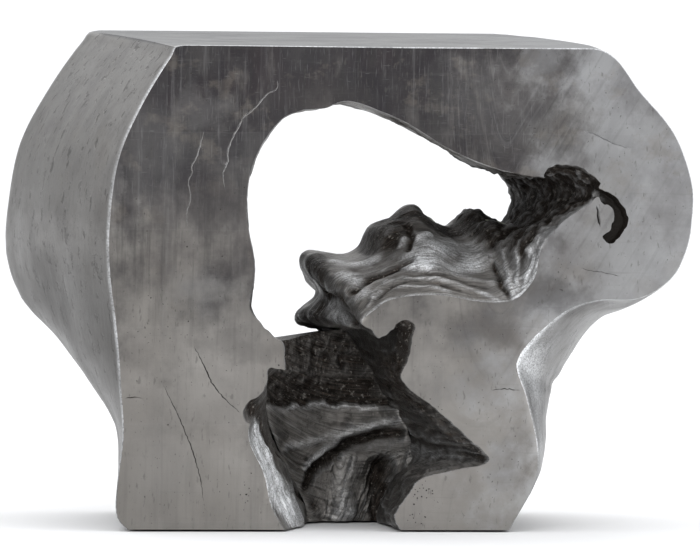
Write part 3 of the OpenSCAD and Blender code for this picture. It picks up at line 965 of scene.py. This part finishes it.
def patina(m):
    """Dark tone over the cut faces, growing towards the top: partly patina, partly a painted dark
    reflection; worn and rubbed in places.
    """
    amount = m.times(m.span(m.plus(m.z, m.times(m.drift, 1.3)), 0.12, 0.38),
                     m.span(m.mottle, 0.36, 0.58, 0.86, 1.0), m.rest(m.times(m.lighter, 0.75)),
                     m.span(m.flat_face, 0.0, 1.0, 0.12, 1.0))
    # darker towards the top: patina and a painted dark reflection
    m.coat(m.times(amount, 0.97), PATINA_AND_DARK_REFLECTION)
    m.worn = m.times(m.span(m.mottle, 0.42, 0.66), m.plus(0.16, m.times(m.height, 0.30)))
    m.coat(m.worn, WORN)
    rubbed = m.noise(21, 5, 0.65, stretch=(1, 1, 1.4))
    m.coat(m.times(m.span(rubbed, 0.54, 0.64), m.times(m.height, 0.27)), RUBBED)


def brushing(m):
    """Brush strokes, upright on the left and leaning on the right."""
    lean = m.times(m.z, m.span(m.x, 0.03, 0.11, 0.0, -0.6))
    leaning = m.join(m.plus(m.x, lean), m.y, m.z)
    m.stroke = m.noise(60, 4, 0.6, at=leaning, stretch=(3.2, 3.2, 0.16))
    bands = m.noise(34, 4, 0.62, at=leaning, stretch=(1.0, 1.0, 0.32))
    brushed = m.times(m.plus(0.18, m.times(m.height, 0.82)), m.rest(m.times(m.lighter, 0.75)),
                      m.span(m.flat_face, 0.0, 1.0, 0.35, 1.0))
    for marks, low, high, most, colour in ((bands, 0.52, 0.36, 0.50, DARK_BRUSHING),
                                           (bands, 0.54, 0.68, 0.20, PALE_BRUSHING),
                                           (m.stroke, 0.54, 0.72, 0.11, grey(0.42)),
                                           (m.stroke, 0.48, 0.32, 0.5, grey(0.04, 0.02))):
        m.coat(m.times(m.span(marks, low, high, 0.0, most), brushed), colour)
    sweep = m.noise(60, 3, 0.6, stretch=(0.14, 1.0, 3.0))
    m.coat(m.span(sweep, 0.58, 0.74, 0.0, 0.18), grey(0.12, 0.03))


def scratches(m):
    """Fine pale scratches, upright and level."""
    upright = m.noise(640, 2, 0.5, stretch=(1.0, 1.0, 0.10))
    across = m.noise(700, 2, 0.5, stretch=(0.16, 1.0, 1.0))
    scratch = m.span(m.most(upright, m.minus(across, 0.04)), 0.58, 0.72)
    m.coat(m.times(scratch, m.times(m.height, 0.11)), grey(0.40))


def squares(m):
    """A tone of its own for each square of leaf, and the thin joints between them."""
    square = m.vector("SUBTRACT", m.stirred(26, 2, 0.5, 0.004), LEAF_START)
    square = m.vector("DIVIDE", square, (LEAF_PITCH,) * 3)
    cell = m.add("ShaderNodeTexWhiteNoise", noise_dimensions="3D")
    m.give(cell.inputs["Vector"], m.vector("FLOOR", square))
    line = 0.0
    for part, side in zip(m.split(m.vector("FRACTION", square)), m.facing):
        joint = m.span(m.math("ABSOLUTE", m.minus(part, 0.5)), 0.489, 0.4985)
        line = m.most(line, m.times(joint, m.span(side, 0.75, 0.6)))
    m.coat(m.span(cell.outputs["Value"], 0.0, 1.0, 0.0, 0.10), grey(0.16, 0.01))
    m.coat(m.times(line, 0.03), grey(0.42))


def sides_and_top(m):
    """The left side painted darker low down and lighter higher up, the top painted dark as a dim
    reflection, and the hollow flank on the right painted dark as shade.
    """
    # painted shade low on the left side and painted light higher up, by which way the surface faces
    leftward = m.span(m.vector("DOT_PRODUCT", m.normal, (-1, 0, 0)), 0.35, 0.75)
    low = m.span(m.z, 0.36, 0.20)
    m.coat(m.times(leftward, low, 0.84), grey(0.05, 0.03))
    m.coat(m.times(leftward, m.minus(0.25, m.times(low, 0.25))), grey(0.42))
    # the top painted dark as a reflection of dim surroundings
    m.upper = m.times(m.span(m.z, 0.4465, 0.4495), m.rest(m.flat_face))
    m.coat(m.times(m.upper, 0.88), grey(0.075, -0.03))
    # painted shade on the flank that faces right and down, under the overhang
    flank = m.span(m.vector("DOT_PRODUCT", m.normal, (1, 0, -0.5)), 0.30, 0.70)
    flank = m.times(flank, m.span(m.z, 0.250, 0.215), m.span(m.mottle, 0.35, 0.60, 0.62, 0.92))
    m.coat(flank, grey(0.085, 0.04))


def patches(m):
    """The larger dark and rubbed patches of PATCHES, with drifting edges."""
    stirred = m.stirred(30, 5, 0.65, 0.06)
    gathered = cleared = 0.0
    for x, z, wide, high, amount in PATCHES:
        gap = m.vector("SUBTRACT", stirred, ((x - DATUM_X) * MM, 0, z * MM))
        gap = m.vector("LENGTH", m.vector("MULTIPLY", gap, (1 / wide / MM, 0, 1 / high / MM)))
        spot = m.span(gap, 1.25, 0.25, 0.0, abs(amount))
        if amount < 0:
            gathered = m.most(gathered, spot)
        else:
            cleared = m.most(cleared, spot)
    m.coat(m.times(gathered, m.flat_face), GATHERED)
    m.coat(m.times(cleared, m.flat_face), grey(0.33, 0.02))


def dents(m):
    """Small dark dents and smears on the sides, and flecks and pores everywhere."""
    turned = m.rest(m.most(m.flat_face, m.span(m.facing[2], 0.7, 0.9)))
    gash = m.noise(105, 4, 0.6, stretch=(1.0, 1.0, 0.5))
    m.gash = m.times(m.span(gash, 0.58, 0.65), turned)
    m.coat(m.times(m.gash, m.minus(0.56, m.times(m.lighter, 0.34))), grey(0.06, 0.05))
    smear = m.span(m.noise(17, 5, 0.65), 0.50, 0.64, 0.0, 0.24)
    m.coat(m.times(smear, turned), grey(0.10, 0.06))
    flecks = m.noise(260, 3, 0.5, stretch=(1, 1, 0.35))
    m.coat(m.span(flecks, 0.62, 0.70, 0.0, 0.45), grey(0.09, 0.05))
    m.coat(m.span(m.noise(420, 1, 0.5), 0.72, 0.76, 0.0, 0.7), grey(0.05, 0.05))


def glazing(m):
    """Dark glaze on the eroded walls, laid on heaviest where shade falls so that it also paints that
    shade, painted glints on the fibres, and crests and cut edges made bright: partly rubbed leaf,
    partly painted highlights.
    """
    thread_at = m.join(m.times(m.attribute("along"), 0.045), m.times(m.attribute("across"), 0.62))
    m.thread = m.noise(1.0, 4, 0.62, at=thread_at)
    m.coat(m.times(m.fibre, m.span(m.thread, 0.56, 0.36, 0.0, 0.55)), grey(0.05, 0.05))
    # the colour of the glaze, which also stands for painted shade
    glaze = m.mix(m.times(m.span(m.thread, 0.42, 0.70), m.fibre), GLAZE_AND_SHADE, PALE_GLAZE_AND_SHADE)
    glint = m.span(m.noise(300, 3, 0.6), 0.58, 0.68, 0.0, 0.9)
    glaze = m.mix(m.times(glint, m.fibre), glaze, GLINT)
    mist = m.span(m.noise(170, 4, 0.7), 0.30, 0.62, 1.20, 0.85)
    # where the glaze and the painted shade lie
    m.soak = m.math("MULTIPLY", m.dark, mist, clamp=True)
    speckle = m.span(m.noise(620, 3, 0.6, stretch=(1, 0.5, 1)), 0.34, 0.62, 0.35, 1.0)
    cloth = m.noise(26, 4, 0.6, stretch=(1, 1, 0.6))
    furrow = m.times(m.fibre, m.span(m.thread, 0.56, 0.36, 0.0, 0.7))
    speckle = m.times(speckle, m.span(cloth, 0.36, 0.58, 0.4, 1.0), m.rest(furrow))
    # crests and cut edges painted bright: partly rubbed leaf, partly painted highlight
    rubbed = m.math("MULTIPLY", m.shine, speckle, clamp=True)
    m.coat(m.times(rubbed, 0.95), grey(0.92, -0.015))
    m.coat(m.soak, glaze)


def sheen(m):
    """Colour, metal and roughness: duller where the glaze and painted shade lie, and on the top that is
    painted dark.
    """
    dull = m.most(m.times(m.soak, 0.75), m.times(m.upper, 0.55))
    metal = m.times(m.rest(dull), m.minus(0.80, m.times(m.fibre, 0.35)))
    rough = m.plus(m.span(m.mottle, 0.3, 0.7, 0.33, 0.46), m.times(m.soak, 0.16))
    rough = m.plus(rough, m.times(m.worn, 0.05))
    m.set(Base_Color=m.tone, Metallic=metal, Roughness=rough, Specular_IOR_Level=0.2)


def fine_relief(m):
    """Strokes, dents and threads too fine for the mesh."""
    bumps = m.plus(m.times(m.stroke, 0.25), m.times(m.mottle, 0.8))
    bumps = m.minus(bumps, m.times(m.gash, 0.5))
    grain = m.times(m.noise(210, 5, 0.7), m.span(m.dark, 0.1, 0.8, 0.10, 1.8))
    bumps = m.plus(m.plus(bumps, grain), m.times(m.thread, m.fibre, 1.5))
    m.bump(bumps, 0.0009)


def leaf_material():
    """Silver leaf in overlapping squares, brushed and mottled, over a dark glaze, with painted light
    and shade in places.
    """
    m = Shader("silver_leaf")
    m.dark, m.shine, m.fibre = (m.attribute(k) for k in ("dark", "shine", "fibre"))
    m.x, m.y, m.z = m.split(m.object)
    m.facing = m.split(m.vector("ABSOLUTE", m.normal))
    m.flat_face = m.span(m.facing[1], 0.6, 0.9)
    m.height = m.span(m.z, 0.10, 0.40)
    m.mottle = m.noise(13, 6, 0.62)
    m.drift = m.times(m.minus(m.noise(15, 6, 0.62), 0.5), 0.42)
    m.lighter = m.span(m.plus(m.x, m.drift), 0.065, 0.205)
    for layer in (bare_leaf, patina, brushing, scratches, squares, sides_and_top, patches, dents,
                  glazing, sheen, fine_relief):
        layer(m)
    return m.material


def plywood_material():
    """Birch plywood with its plies showing as level bands."""
    m = Shader("plywood")
    grain = m.noise(22, 6, 0.6, stretch=(0.3, 6, 6))
    rings = m.add("ShaderNodeTexWave", bands_direction="Z")
    m.give(rings.inputs["Vector"], m.object)
    rings.inputs["Scale"].default_value = 95.0
    rings.inputs["Distortion"].default_value = 0.6
    m.tone = m.mix(grain, (0.50, 0.35, 0.19, 1), (0.68, 0.53, 0.33, 1))
    m.coat(m.times(rings.outputs["Fac"], 0.30), (0.33, 0.21, 0.11, 1))
    m.set(Base_Color=m.tone, Roughness=m.span(grain, 0.3, 0.7, 0.55, 0.7))
    m.bump(grain, 0.0004)
    return m.material


def laminate_material():
    """Translucent greenish glass-fibre laminate with a slanting weave."""
    m = Shader("laminate")
    weave = m.add("ShaderNodeTexWave", bands_direction="DIAGONAL")
    m.give(weave.inputs["Vector"], m.object)
    weave.inputs["Scale"].default_value = 160.0
    blotch = m.noise(30, 4)
    m.tone = m.mix(blotch, (0.30, 0.32, 0.22, 1), (0.52, 0.53, 0.42, 1))
    m.coat(m.times(weave.outputs["Fac"], 0.35), (0.66, 0.67, 0.60, 1))
    m.set(Base_Color=m.tone, Roughness=m.span(blotch, 0.3, 0.7, 0.3, 0.5))
    m.bump(weave.outputs["Fac"], 0.0003)
    return m.material


def board_material():
    """Black-faced board."""
    m = Shader("base_board")
    specks = m.noise(500, 2)
    tone = m.mix(m.span(specks, 0.45, 0.7), (0.010, 0.010, 0.011, 1), (0.035, 0.035, 0.037, 1))
    m.set(Base_Color=tone, Roughness=m.span(specks, 0.3, 0.7, 0.55, 0.75))
    m.bump(specks, 0.0002)
    return m.material


def steel_material():
    """Zinc-plated steel of the inserts, stems and screws."""
    m = Shader("zinc_steel")
    frost = m.noise(700, 3)
    tone = m.mix(frost, (0.50, 0.51, 0.53, 1), (0.66, 0.67, 0.68, 1))
    m.set(Base_Color=tone, Metallic=0.95, Roughness=m.span(frost, 0.3, 0.7, 0.25, 0.42))
    m.bump(frost, 0.0001)
    return m.material


def nylon_material():
    """Black nylon of the glide pads."""
    m = Shader("nylon")
    grain = m.noise(900, 2)
    tone = m.mix(grain, (0.014, 0.014, 0.015, 1), (0.030, 0.030, 0.032, 1))
    m.set(Base_Color=tone, Roughness=m.span(grain, 0.3, 0.7, 0.40, 0.55))
    m.bump(grain, 0.00015)
    return m.material


def floor_material():
    """Nearly white floor."""
    m = Shader("pale_floor")
    tone = m.mix(m.noise(3, 2), grey(0.86), grey(0.98 * 0.86))
    m.set(Base_Color=tone, Roughness=0.8)
    return m.material


leaf = leaf_material()
finishes = {"plywood": plywood_material(), "laminate": laminate_material(),
            "base_board": board_material(), "zinc_steel": steel_material(),
            "nylon": nylon_material(), "silver_leaf": leaf, "dark_leaf": leaf}
for part in frame["record"]["subparts"]:
    node = frame["nodes"][part["node"]]
    node.data.materials.clear()
    node.data.materials.append(finishes[part["material_slot"]])

# ---------------------------------------------------------------- pieces
STEP = 1.5    # row spacing of the eroded walls, mm
pieces = (("front_shell", "silver_leaf", shell("front_shell_leafed", 0, STEP)),
          ("rear_shell", "silver_leaf", shell("rear_shell_leafed", 1, STEP * 1.4)),
          ("recess_wall", "dark_leaf", recess_wall()))
for node, finish, piece in pieces:
    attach(piece, "root")
    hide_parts(node)

# ---------------------------------------------------------------- floor, light and camera
FLOOR_SIZE = 60                     # metres
bpy.ops.mesh.primitive_plane_add(size=FLOOR_SIZE)
floor = bpy.context.object
floor.name = "floor"
floor.data.materials.append(floor_material())

HORIZON_LIGHT, OVERHEAD_LIGHT = 0.42, 1.7       # strength of the surroundings


def studio_world():
    """Plain soft surroundings: bright overhead, dimmer round the horizon."""
    world = bpy.data.worlds.new("studio")
    world.use_nodes = True
    nodes, links = world.node_tree.nodes, world.node_tree.links
    part = nodes.new("ShaderNodeSeparateXYZ")
    links.new(nodes.new("ShaderNodeTexCoord").outputs["Generated"], part.inputs[0])
    rise = nodes.new("ShaderNodeMapRange")
    rise.interpolation_type = "SMOOTHSTEP"
    links.new(part.outputs["Z"], rise.inputs[0])
    for k, value in enumerate((0.05, 0.9, HORIZON_LIGHT, OVERHEAD_LIGHT)):
        rise.inputs[k + 1].default_value = value
    background = nodes["Background"]
    background.inputs["Color"].default_value = (0.97, 0.98, 1.0, 1)
    links.new(rise.outputs[0], background.inputs["Strength"])
    bpy.context.scene.world = world


studio_world()
bpy.context.scene.view_settings.view_transform = "Standard"


def softbox(name, position, target, size, power):
    """A rectangular lamp at position, aimed at target."""
    light = bpy.data.lights.new(name, "AREA")
    light.shape = "RECTANGLE"
    light.size, light.size_y = size
    light.energy = power
    lamp = bpy.data.objects.new(name, light)
    lamp.location = position
    aim = Vector(target) - Vector(position)
    lamp.rotation_euler = aim.to_track_quat("-Z", "Y").to_euler()
    bpy.context.scene.collection.objects.link(lamp)


softbox("key", (-1.3, -2.6, 1.2), (0, 0, 0.2), (1.6, 1.2), 22)
softbox("fill", (2.4, -1.6, 0.8), (0, 0, 0.2), (1.2, 1.4), 12)
softbox("back", (0.5, 2.6, 2.0), (0, 0, 0.3), (2.0, 1.2), 16)

# The photo's view: from the left of the front, from a little above, with a slight roll.
TURN, TILT, ROLL = (math.radians(a) for a in (15.7, 3.0, 1.1))
TARGET = Vector((-0.002, 0.0, 0.2253))
DISTANCE = 23.85                    # far back, as the photo shows hardly any perspective
FRAME_WIDTH = 0.6512                # metres across the picture at the target
right = Vector((math.cos(TURN), -math.sin(TURN), 0))
up = Vector((math.sin(TURN) * math.sin(TILT), math.cos(TURN) * math.sin(TILT), math.cos(TILT)))
ahead = up.cross(right)
across = math.cos(ROLL) * right + math.sin(ROLL) * up
above = -math.sin(ROLL) * right + math.cos(ROLL) * up
lens = bpy.data.cameras.new("photo_angle")
lens.sensor_width = 36
lens.lens = lens.sensor_width * DISTANCE / FRAME_WIDTH
lens.clip_end = 100
camera = bpy.data.objects.new("photo_angle", lens)
turned = Matrix((across, above, -ahead)).transposed()
camera.matrix_world = Matrix.Translation(TARGET - ahead * DISTANCE) @ turned.to_4x4()
bpy.context.scene.collection.objects.link(camera)
bpy.context.scene.camera = camera
